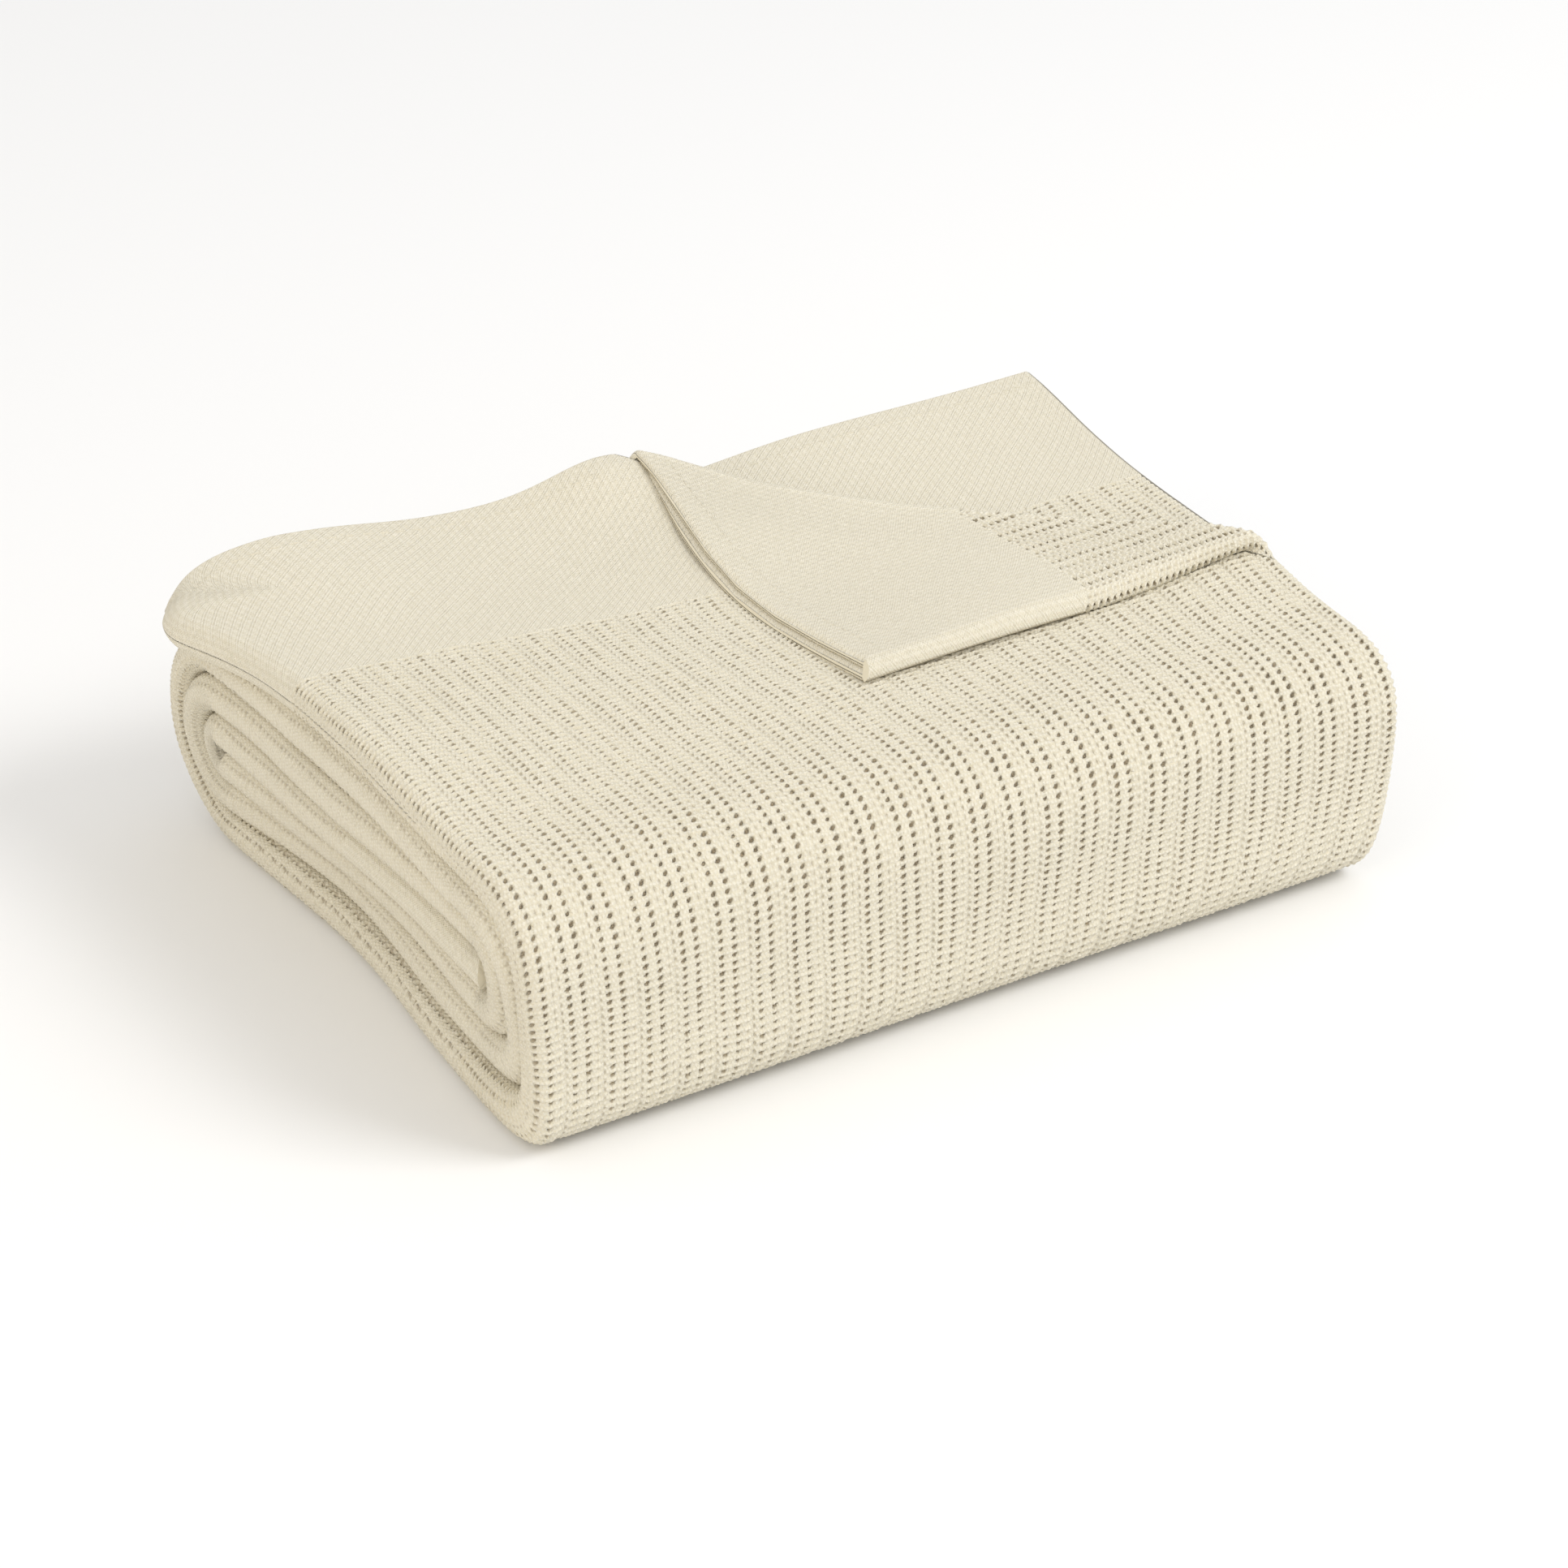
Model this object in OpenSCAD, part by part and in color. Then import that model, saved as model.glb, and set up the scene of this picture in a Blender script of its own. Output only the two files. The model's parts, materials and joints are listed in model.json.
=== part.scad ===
// Folded throw blanket: a cotton throw folded in half twice along its length,
// rolled flat into a spiral of laps, with one corner of the outer pair of plies
// turned back over the top.
// Millimetres. +X runs along the folded width, with the smooth fold edges at -X.
// -Y is the rolled front, +Z is up. The origin is under the middle of the roll,
// on the surface that it rests on.

/* [Throw] */
// Full width of the throw, before it is folded
throw_width = 1300; // [1000:10:1500]
// Full length of the throw, before it is rolled
throw_length = 1700; // [1650:10:1900]
// Thickness of one ply of the cloth
ply_thickness = 3.2; // [2.8:0.1:3.4]
// Depth of the stitched hem across each end of the throw
hem_depth = 12; // [8:1:16]

/* [Top flap] */
// How far the outer pair of plies runs past the start of the back bend
outer_pair_reach = 24; // [20:1:30]
// How far the inner pair of plies runs past the start of the back bend
inner_pair_reach = 14; // [8:1:18]

/* [Turned corner] */
// Length of hem that turns over with the corner
corner_hem_length = 174; // [120:1:180]
// Length of folded side edge that turns over with the corner
corner_side_length = 176; // [110:1:178]

/* [Stitching] */
// Length of one stitch
stitch_length = 3.2; // [2:0.1:4]
// Distance from one stitch to the next
stitch_pitch = 5; // [4.5:0.5:8]
// Thickness of the sewing thread
thread_thickness = 0.8; // [0.5:0.1:1]

/* [Hidden] */
$fn = 96;

// Cloth in the folded stack
fold_allowance = 3;
length = throw_width / 4 - fold_allowance;
ply_gap = 0.2;
pair_t = 2 * ply_thickness;
inner_inset = pair_t + ply_gap;
lap_t = 2 * pair_t + ply_gap;
lap_gap = 0.3;
lap_pitch = lap_t + lap_gap;
wraps = 3;
layers = 2 * wraps + 1;
height = layers * lap_t + (layers - 1) * lap_gap;

// The spiral: half rings round a front and a back centre, joined by flat runs
front_r = height / 2;
back_r = (height - lap_pitch) / 2;
function ring_path(r) = PI * (wraps * (r - lap_t / 2) - lap_pitch * wraps * (wraps - 1) / 2);
core_r = lap_t / 2;
runs_length = throw_length - ring_path(front_r) - ring_path(back_r) - outer_pair_reach - core_r;
run = runs_length / layers;
depth = run + front_r + back_r;
front_y = front_r - depth / 2;
back_y = front_y + run;

// The top flap
flap_z = height - lap_t;
flap_outer_z = height - pair_t;
outer_end_y = back_y + outer_pair_reach;
inner_end_y = back_y + inner_pair_reach;

// The diagonal fold runs from fold_a on the end hem to fold_b on the side edge
fold_a = [length / 2 - corner_hem_length, outer_end_y];
fold_b = [length / 2, outer_end_y - corner_side_length];
fold_normal = [corner_side_length, corner_hem_length] / norm([corner_side_length, corner_hem_length]);
fold_gap = 0.4;
corner_z = height + lap_gap;

// Stitch rows
stitch_width = 0.9;
stitch_edge = hem_depth - 3;
stitch_margin = 6;

cloth = "#ebe4cd";
band = "#efe9d5";
thread = "#f4efdf";

// One half ring of cloth, bent towards side -1 (front) or +1 (back)
module half_ring(centre, outer_r, thickness, side) {
    translate(centre)
        intersection() {
            difference() {
                circle(r = outer_r);
                circle(r = outer_r - thickness);
            }
            translate([side > 0 ? 0 : -outer_r - 1, -outer_r - 1])
                square([outer_r + 1, 2 * outer_r + 2]);
        }
}

// The rounded nose of a lap that ends inside the first bend
module nose(centre, r) {
    translate(centre)
        intersection() {
            circle(r = r);
            translate([-r - 1, -r - 1])
                square([r + 1, 2 * r + 2]);
        }
}

// One flat run of cloth between the two bend centres
module flat_run(low_z, thickness, y0 = front_y, y1 = back_y) {
    top_z = low_z + thickness;
    polygon([[y0, low_z], [y1, low_z], [y1, top_z], [y0, top_z]]);
}

// Extrudes a profile drawn in Y and Z along the whole folded width
module along_width() {
    translate([-length / 2, 0, 0])
        rotate([90, 0, 90])
            linear_extrude(length)
                children();
}

// One pair of plies of wrap k: front bend, bottom run, back bend and, if it goes
// on over the top, the run that closes the wrap
module wrap_pair(k, inset, top_run = true) {
    inward = k * lap_pitch + inset;
    color(cloth)
        along_width()
            union() {
                half_ring([front_y, front_r], front_r - inward, pair_t, -1);
                flat_run(inward, pair_t);
                half_ring([back_y, back_r], back_r - inward, pair_t, 1);
                if (top_run)
                    flat_run(height - lap_pitch - inward - pair_t, pair_t);
            }
}

// The innermost lap, up to its hem, which lies in the first bend
module core_pair(inset) {
    inward = wraps * lap_pitch + inset;
    color(cloth)
        along_width()
            flat_run(height - inward - pair_t, pair_t, front_y + hem_depth);
}

// A flat slab of the flap, outlined in plan
module slab(low_z, thickness) {
    translate([0, 0, low_z])
        linear_extrude(thickness)
            children();
}

// Plan of the flap from the front bend to y1
module flap_plan(y0, y1) {
    translate([-length / 2, y0])
        square([length, y1 - y0]);
}

// Plan of the cut corner, kept clear of the diagonal fold by gap
module corner_plan(gap) {
    step = fold_normal * gap;
    reach = 2 * corner_hem_length;
    along = (fold_b - fold_a) / norm(fold_b - fold_a) * reach;
    outward = fold_normal * reach;
    polygon([
        fold_a + step - along,
        fold_a + step + along,
        fold_a + step + along + outward,
        fold_a + step - along + outward
    ]);
}

// Turns a plan over the diagonal fold
module turned_over() {
    translate(fold_a)
        mirror([fold_normal.x, fold_normal.y, 0])
            translate(-fold_a)
                children();
}

// A row of stitches along X, half sunk into the face at top_z
module stitch_row(x0, x1, y, top_z) {
    color(thread)
        for (x = [x0 : stitch_pitch : x1 - stitch_length])
            translate([x, y - stitch_width / 2, top_z - thread_thickness / 2])
                cube([stitch_length, stitch_width, thread_thickness]);
}

module core_outer_pair() {
    core_pair(0);
}

module core_inner_pair() {
    core_pair(inner_inset);
}

module core_hem() {
    low_z = height - wraps * lap_pitch - lap_t;
    color(band)
        along_width()
            union() {
                flat_run(low_z, lap_t, front_y, front_y + hem_depth);
                nose([front_y, low_z + core_r], core_r);
            }
}

module core_stitching() {
    top_z = height - wraps * lap_pitch;
    x0 = -length / 2 + stitch_margin;
    stitch_row(x0, -x0, front_y + stitch_edge, top_z - thread_thickness / 2);
}

module inner_wrap_outer_pair() {
    wrap_pair(2, 0, false);
}

module inner_wrap_inner_pair() {
    wrap_pair(2, inner_inset, false);
}

module middle_wrap_outer_pair() {
    wrap_pair(1, 0);
}

module middle_wrap_inner_pair() {
    wrap_pair(1, inner_inset);
}

module outer_wrap_outer_pair() {
    wrap_pair(0, 0);
}

module outer_wrap_inner_pair() {
    wrap_pair(0, inner_inset);
}

module flap_inner_pair() {
    color(cloth)
        slab(flap_z, pair_t)
            flap_plan(front_y + lap_gap, inner_end_y - hem_depth);
}

module flap_inner_hem() {
    color(band)
        slab(flap_z, pair_t)
            flap_plan(inner_end_y - hem_depth, inner_end_y);
}

module flap_inner_stitching() {
    x0 = fold_a.x + hem_depth + 3 * stitch_margin;
    stitch_row(x0, length / 2 - stitch_margin, inner_end_y - stitch_edge, flap_z + pair_t);
}

module flap_outer_pair() {
    color(cloth)
        slab(flap_outer_z, pair_t)
            difference() {
                flap_plan(front_y + lap_gap, outer_end_y - hem_depth);
                corner_plan(0);
            }
}

module flap_outer_hem() {
    color(band)
        slab(flap_outer_z, pair_t)
            difference() {
                flap_plan(outer_end_y - hem_depth, outer_end_y);
                corner_plan(0);
            }
}

module flap_outer_stitching() {
    x0 = -length / 2 + stitch_margin;
    stitch_row(x0, fold_a.x - 2 * stitch_margin, outer_end_y - stitch_edge, height);
}

module corner_pair() {
    color(cloth)
        slab(corner_z, pair_t)
            turned_over()
                intersection() {
                    flap_plan(front_y + lap_gap, outer_end_y - hem_depth);
                    corner_plan(fold_gap);
                }
}

module corner_hem() {
    color(band)
        slab(corner_z, pair_t)
            turned_over()
                intersection() {
                    flap_plan(outer_end_y - hem_depth, outer_end_y);
                    corner_plan(fold_gap);
                }
}

module corner_stitching() {
    x0 = fold_a.x + hem_depth + stitch_margin;
    turned_over()
        stitch_row(x0, length / 2 - stitch_margin, outer_end_y - stitch_edge, corner_z + pair_t);
}

core_outer_pair();
core_inner_pair();
core_hem();
core_stitching();
inner_wrap_outer_pair();
inner_wrap_inner_pair();
middle_wrap_outer_pair();
middle_wrap_inner_pair();
outer_wrap_outer_pair();
outer_wrap_inner_pair();
flap_inner_pair();
flap_inner_hem();
flap_inner_stitching();
flap_outer_pair();
flap_outer_hem();
flap_outer_stitching();
corner_pair();
corner_hem();
corner_stitching();
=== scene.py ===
import json
import math

import bmesh
import bpy
import numpy as np
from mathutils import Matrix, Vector
from mathutils.geometry import delaunay_2d_cdt


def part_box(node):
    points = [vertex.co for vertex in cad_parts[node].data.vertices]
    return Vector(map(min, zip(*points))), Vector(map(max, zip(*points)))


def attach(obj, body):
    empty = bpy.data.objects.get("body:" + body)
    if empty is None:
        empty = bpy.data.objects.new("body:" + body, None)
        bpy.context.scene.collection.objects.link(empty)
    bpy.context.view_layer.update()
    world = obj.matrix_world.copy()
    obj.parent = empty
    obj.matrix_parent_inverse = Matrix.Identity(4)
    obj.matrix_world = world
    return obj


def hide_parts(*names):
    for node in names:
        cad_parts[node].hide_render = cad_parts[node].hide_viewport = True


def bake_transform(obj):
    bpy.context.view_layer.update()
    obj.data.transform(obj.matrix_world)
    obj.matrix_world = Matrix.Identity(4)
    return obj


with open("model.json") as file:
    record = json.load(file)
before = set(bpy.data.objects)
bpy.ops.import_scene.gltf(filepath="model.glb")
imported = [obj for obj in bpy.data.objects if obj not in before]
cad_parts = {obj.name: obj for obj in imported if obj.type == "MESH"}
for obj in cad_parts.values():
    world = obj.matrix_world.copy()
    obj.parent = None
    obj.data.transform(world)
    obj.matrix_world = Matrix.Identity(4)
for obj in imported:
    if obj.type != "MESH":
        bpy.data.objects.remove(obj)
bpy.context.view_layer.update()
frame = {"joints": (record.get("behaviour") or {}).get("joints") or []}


# ---- sizes, in millimetres, read from the frame ----

def box_mm(node):
    """Lowest and highest corner of a CAD node, in millimetres."""
    lo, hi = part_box(node)
    return np.array(lo) * 1000, np.array(hi) * 1000


def extent(node, axis):
    lo, hi = box_mm(node)
    return hi[axis] - lo[axis]


def joint(name):
    """Position in millimetres and axis of a joint."""
    found = next(j for j in frame["joints"] if j["name"] == name)
    return np.array(found["pos_m"]) * 1000, np.array(found["axis"])


WRAP_LO, WRAP_HI = box_mm("outer_wrap_outer_pair")
HALF = WRAP_HI[0]
HEIGHT = WRAP_HI[2]
PITCH = box_mm("middle_wrap_outer_pair")[0][1] - WRAP_LO[1]
LAP = extent("core_hem", 2)
PLY = extent("core_outer_pair", 2) / 2
FRONT_R = HEIGHT / 2
BACK_R = (HEIGHT - PITCH) / 2
FRONT_Y = WRAP_LO[1] + FRONT_R
BACK_Y = WRAP_HI[1] - BACK_R
OUTER_END = box_mm("flap_outer_hem")[1][1]
INNER_END = box_mm("flap_inner_hem")[1][1]
HEM = extent("flap_inner_hem", 1)
WRAPS = 3
LIFT_POS, _ = joint("flap_lift")
FOLD_POS, FOLD_AXIS = joint("corner_fold")
FOLD_ALONG = np.array([abs(FOLD_AXIS[0]), -abs(FOLD_AXIS[1])])
FOLD_NORMAL = np.array([-FOLD_ALONG[1], FOLD_ALONG[0]])

# ---- the weave, in millimetres ----
PERIOD = 13.2            # from one pair of hole columns to the next
ROW = 2.75               # from one row of holes to the next
HOLE_SLANT = 0.6         # how much the holes lean, as a share of their width
FIRST_PAIR_X = -144.5    # where a pair of hole columns lies on the outer ply
HOLE_AT = 0.18           # hole columns, in periods each side of the pair's centre
DASH_AT = 0.413          # small dashes of the plain stripe, in periods
BAND = 88.0              # depth of the dense end band
PIT = 1.2                # depth of a hole in the relief
FINE_U = (0.0, 1.35, 1.95, 2.8, 3.4, 4.5, 5.45, 6.6, 7.75, 8.7, 9.8, 10.4, 11.25, 11.85)
CROSS_STEP = 24.0        # column spacing on the faces that are never seen
ROUND_STEP = 2.2         # the same on rounded edges that are never seen
DRIFT_U = (0.3, 0.13, 0.05)     # sideways drift of the yarns: reach, waves along v and along u
DRIFT_V = (0.45, 0.16, 1.3)     # lengthwise drift of the yarns: reach, waves along u, phase
CURL = 1.6               # how far in from its end a ply rounds off

# ---- the fold of the turned corner ----
FOLD_INNER = 0.15        # radius left inside the fold
FOLD_MID = FOLD_INNER + PLY
FOLD_USED = math.pi * FOLD_MID
FOLD_Z = HEIGHT + FOLD_INNER
CORNER_SHEAR = 0.12      # how far the corner slides along the fold, per mm that it turns over
TIP_R = 33.0             # plan radius of the flap's free corner
TIP_OUT = (11.0, 5.5)    # how far that corner spreads past the roll
TIP_EDGE = 7.0           # how far in from its rim that corner is rounded off
PLY_SLIP = 0.9           # how far the turned plies slide over each other, per mm of depth
LIFT_BLEND = 20.0        # how much of the flap bends as it lifts
PLY_GAP = 0.03           # half the gap between two plies
LEAD = 30.0              # spare path before and after the cloth
PATH_STEP = 0.5


def smooth(x, a, b):
    t = np.clip((x - a) / (b - a), 0, 1)
    return t * t * (3 - 2 * t)


def hill(x, y, at, width):
    """A round rise of height 1 at a place, with its widths along x and y."""
    return np.exp(-((x - at[0]) / width[0]) ** 2 - ((y - at[1]) / width[1]) ** 2)


# ---- the spiral path of the folded stack ----

def straight(y0, y1, z, inward):
    n = max(2, int(abs(y1 - y0) / PATH_STEP))
    y = np.linspace(y0, y1, n)
    return np.stack([y, np.full(n, z), np.zeros(n), np.full(n, inward)], 1)


def bend(centre, radius, side):
    """Half a turn: side -1 goes down round the front, +1 goes up round the back."""
    n = max(8, int(math.pi * radius / PATH_STEP))
    a = np.linspace(0, math.pi, n)
    out_y, out_z = side * np.sin(a), -side * np.cos(a)
    return np.stack([centre[0] + radius * out_y, centre[1] + radius * out_z, -out_y, -out_z], 1)


def spiral():
    """Arc length and a table of y, z and the inward normal along the stack's outer face."""
    parts = [straight(OUTER_END + LEAD, FRONT_Y, HEIGHT, -1)]
    for k in range(WRAPS):
        parts.append(bend((FRONT_Y, FRONT_R), FRONT_R - PITCH * k, -1))
        parts.append(straight(FRONT_Y, BACK_Y, PITCH * k, 1))
        parts.append(bend((BACK_Y, BACK_R), BACK_R - PITCH * k, 1))
        end = FRONT_Y - (k == WRAPS - 1) * LEAD
        parts.append(straight(BACK_Y, end, HEIGHT - PITCH * (k + 1), -1))
    table = np.concatenate(parts)
    s = np.concatenate([[0], np.cumsum(np.hypot(np.diff(table[:, 0]), np.diff(table[:, 1])))]) - LEAD
    ends = np.cumsum([len(p) for p in parts]) - 1
    return s, table, s[ends]


PATH_S, PATH, ENDS = spiral()
S_FRONT, S_BOTTOM, S_BACK, S_UNDER = ENDS[0], ENDS[1], ENDS[2], ENDS[3]
S_MIDDLE, S_INNER, S_CORE = ENDS[4], ENDS[8], ENDS[11]
S_END = ENDS[12] - LEAD + LAP / 2
S_HINGE = OUTER_END - LIFT_POS[1]
S_FLAP = S_HINGE - LIFT_BLEND
S_INNER_HEM = OUTER_END - INNER_END


def along(s, column):
    return np.interp(s, PATH_S, PATH[:, column])


# ---- the soft shape that every piece shares ----

SQUARE_TOP = 3.8         # 2 is a round front, larger is squarer
SQUARE_BASE = 4.8
ROUND_CORE = 2.2


def front_square(y, z):
    """Flattens the round front into the upright face with soft corners of a loosely rolled throw."""
    dy, dz = np.maximum(FRONT_Y - y, 0), z - FRONT_R
    r = np.hypot(dy, dz) + 1e-9
    c, t = dy / r, np.abs(dz) / r
    m = ROUND_CORE + (np.where(dz > 0, SQUARE_TOP, SQUARE_BASE) - ROUND_CORE) * (r / FRONT_R) ** 1.5
    f = (c ** m + t ** m + 1e-12) ** (-1 / m)
    inside = y < FRONT_Y
    return np.where(inside, FRONT_Y - dy * f, y), np.where(inside, FRONT_R + dz * f, z)


def soft_shape(p):
    """The slack of the real roll: a front that leans along its width, a top that sags, small waves."""
    x, y, z = p[:, 0], p[:, 1], p[:, 2]
    y, z = front_square(y, z)
    across, up = x / HALF, np.clip(z / HEIGHT, 0, 1.2)
    lean = across * (1.6 + 9.0 * up ** 1.5) * smooth(-y, -70, 50)
    swell = smooth(-y, 60, 110) * 1.1 * np.sin(x / 31 + 0.8) * np.sin(np.pi * np.clip(up, 0, 1))
    y = y - lean + swell * np.cos(z / 26)
    sag = 6.2 * hill(x, y, (12, 16), (78, 52))
    rise = 5.5 * smooth(-x, 70, 165) * smooth(y, -85, 0)
    rise = rise + 6.0 * np.exp(-((x + 105) / 50) ** 2) * smooth(y, 10, 115)
    rise = rise - 7.0 * smooth(-x, 118, 172) * smooth(y, 40, 122)
    back = 3.0 * smooth(y, 60, 118) * smooth(x, -90, 10) + 3.5 * smooth(y, 30, 110) * smooth(x, 0, 80)
    wave = 0.8 * np.sin(x / 24 + 1.1) * np.sin(y / 29 + x / 60) * smooth(y, -70, -40)
    rise = rise + 4.5 * hill(x, y, (152, -56), (40, 34))
    z = z + (rise + back - sag + wave) * up ** 2.2
    return np.stack([spread(x, y, up), y, np.maximum(z, 0)], 1)


def spread(x, y, up):
    """The ends of the laps spread and draw in by some millimetres."""
    right, left = smooth(x, 30, HALF), smooth(-x, 90, HALF)
    x = x + right * (9.0 * smooth(y, -95, 0) * up ** 2 + 3.0 * np.sin(np.pi * np.clip(up, 0, 1)))
    x = x - left * (7.0 * smooth(y, 10, 115) * up ** 3 + 3.5 * smooth(y, 50, 125) * (1 - up) * up * 4)
    return x + left * 6.5 * np.exp(-((y - 5) / 60) ** 2) * (1 - smooth(up, 0.1, 0.6))


def ragged_ends(x, s):
    """The laps of the roll don't end exactly in line."""
    depth = smooth(s, S_HINGE + 60, S_MIDDLE + 60)
    left = 2.4 * depth * (1 + np.sin(s / 71)) + 0.9 * np.sin(s / 23) * depth
    right = 1.8 * depth * (1 + np.sin(s / 57 + 1)) + 0.7 * np.sin(s / 19) * depth
    return x + left * smooth(-x, HALF - 70, HALF) - right * smooth(x, HALF - 70, HALF)


def place_roll(p):
    """From the unrolled stack (x, arc length, depth) to the row frame."""
    x, s, d = p[:, 0], p[:, 1], p[:, 2]
    off = np.clip((d - LAP / 2) / (LAP / 2), -1, 1)
    s = s - LAP / 2 * (1 - np.sqrt(1 - off ** 2)) * smooth(s, S_END - 14, S_END)
    y = along(s, 0) + d * along(s, 2)
    z = along(s, 1) + d * along(s, 3)
    return soft_shape(np.stack([ragged_ends(x, s), y, z], 1))


def round_tip(p):
    """The flap's free corner at -X is round in plan, as limp cloth is."""
    a = np.maximum(TIP_R - HALF - p[:, 0], 0)
    b = np.maximum(TIP_R - p[:, 1], 0)
    power = 8 + 40 * np.clip(np.maximum(a, b) / TIP_R, 0, 1) ** 3
    edge = TIP_R * ((a / TIP_R) ** power + (b / TIP_R) ** power) ** (1 / power)
    k = np.where((a > 0) & (b > 0), edge / (np.hypot(a, b) + 1e-9), 1)
    x = np.where(a > 0, TIP_R - HALF - a * k, p[:, 0])
    s = np.where(b > 0, TIP_R - b * k, p[:, 1])
    rim = np.clip((edge - TIP_R) / TIP_EDGE + 1, 0, 1) * smooth(np.minimum(a, b), 0, 0.85 * TIP_R)
    d = LAP / 2 + (p[:, 2] - LAP / 2) * np.sqrt(1 - 0.92 * rim ** 2)
    pull = hill(x, s, (-HALF, 0), (50, 50))
    return np.stack([x - TIP_OUT[0] * pull, s - TIP_OUT[1] * pull, d], 1)


def place_fold(p):
    """As place_roll, with the corner of the outer pair turned back over the fold line."""
    p = round_tip(p)
    x, y, d = p[:, 0], OUTER_END - p[:, 1], p[:, 2]
    rx, ry = x - FOLD_POS[0], y - FOLD_POS[1]
    past = rx * FOLD_NORMAL[0] + ry * FOLD_NORMAL[1]
    run = rx * FOLD_ALONG[0] + ry * FOLD_ALONG[1]
    turn = np.clip(past / FOLD_MID, 0, math.pi)
    r = np.maximum(FOLD_INNER + d, 0.02)
    over = np.maximum(past - FOLD_USED, 0) - PLY_SLIP * (d - PLY) * smooth(past, FOLD_USED, FOLD_USED + 30)
    out = np.where(past < 0, past, r * np.sin(turn) - over)
    z = np.where(past < 0, HEIGHT - d, FOLD_Z - r * np.cos(turn))
    run = run + CORNER_SHEAR * over
    loft = 6.0 * hill(run, out, (5, 0), (42, 42))
    loft = loft + 5.5 * hill(run, out, (-3, -6), (26, 18)) * (past < 0)
    z = z + loft + 1.2 * np.sin(run / 21) * smooth(over, 10, 60)
    bow = 3.0 * smooth(S_FLAP - p[:, 1], 0, 25)
    out = out + bow * np.sin(np.clip(run / 250, 0, 1) * math.pi) * np.exp(-(out / 50) ** 2)
    run = run + 18.0 * hill(run, out, (0, 0), (62, 62))
    fx = FOLD_POS[0] + run * FOLD_ALONG[0] + out * FOLD_NORMAL[0]
    fy = FOLD_POS[1] + run * FOLD_ALONG[1] + out * FOLD_NORMAL[1]
    return soft_shape(np.stack([fx, fy, z], 1))


# ---- relief of the weave ----

def wrapped(x, period):
    return (x + period / 2) % period - period / 2


def weave_height(u, v):
    """Height of the cloth's face in millimetres, at u across the throw and v along it."""
    u, v = (u + DRIFT_U[0] * np.sin(v * DRIFT_U[1] + u * DRIFT_U[2]),
            v + DRIFT_V[0] * np.sin(u * DRIFT_V[1] + DRIFT_V[2]))
    a = np.abs(wrapped(u, PERIOD))
    w = wrapped(v, ROW)
    open_part = smooth(v, BAND, BAND + 2.5) * smooth(S_END - v, BAND, BAND + 2.5)
    cell = np.sin(np.round(u / PERIOD) * 12.99 + np.round(v / ROW) * 78.23) * 43758.5
    size = 0.78 + 0.34 * (cell - np.floor(cell))
    across = (a - HOLE_AT * PERIOD) / 0.95
    upright = w / 0.7 + HOLE_SLANT * across * np.sign(wrapped(u, PERIOD))
    hole = 1 - smooth(np.hypot(across, upright) / size, 0.5, 1.25)
    late = wrapped(v + ROW / 2 * (np.floor(u / PERIOD * 2) % 2), ROW)
    dash = 1 - smooth(np.hypot((a - DASH_AT * PERIOD) / 0.55, late / 0.8), 0.4, 1.3)
    rib = 0.22 * np.cos(2 * np.pi * a / PERIOD * 5.2 + 0.4)
    pick = 0.16 * np.cos(2 * np.pi * (w / ROW + 0.5))
    worn = 1 - 0.5 * smooth(v, S_UNDER, S_UNDER + 40)
    return open_part * (rib + pick - PIT * hole * worn - 0.55 * dash * worn)


def hem_height(s):
    """A turned hem stands a little proud, with a crease where it ends."""
    return 0.16 * (1 - smooth(s, HEM - 2.0, HEM + 1.0))


# ---- cross-sections of the folded stack: columns of (x, depth, nx, nd, u, relief, ply middle) ----

X_FOLD = -HALF + LAP / 2
X_ONE = HALF - PLY
X_EDGE = HALF - PLY / 2
SEAM = PLY_GAP
TOP3 = LAP - 2 * PLY
U_ONE = X_FOLD - FIRST_PAIR_X


def fine_u(u0, u1):
    """Sample places between u0 and u1 that catch the edges and middles of the holes."""
    lo, hi = min(u0, u1), max(u0, u1)
    first = math.floor(lo / PERIOD) - 1
    marks = [PERIOD * k + f for k in range(first, math.ceil(hi / PERIOD) + 1) for f in FINE_U]
    inner = [m for m in marks if lo + 0.25 < m < hi - 0.25]
    line = [lo, *inner, hi]
    return np.array(line if u1 > u0 else line[::-1])


def flat_face(x0, x1, depth, side, u0, ply, fine=None):
    """One face of a ply from x0 to x1; fine is the range of x that carries the woven relief."""
    way = 1 if x1 > x0 else -1
    length = abs(x1 - x0)
    marks = [np.linspace(0, length, max(2, int(length / CROSS_STEP) + 1))]
    if fine:
        f0, f1 = sorted((abs(fine[0] - x0), abs(fine[1] - x0)))
        marks = [m[(m < f0 - 1) | (m > f1 + 1)] for m in marks]
        marks.append(fine_u(u0 + f0, u0 + f1) - u0)
    t = np.unique(np.concatenate(marks))
    t = t[np.concatenate([[True], np.diff(t) > 0.05])]
    relief = np.zeros(len(t))
    if fine:
        relief = ((t >= f0) & (t <= f1)).astype(float)
    one = np.ones(len(t))
    return np.stack([x0 + way * t, depth * one, 0 * t, side * one, u0 + t, relief, ply * one], 1)


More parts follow.
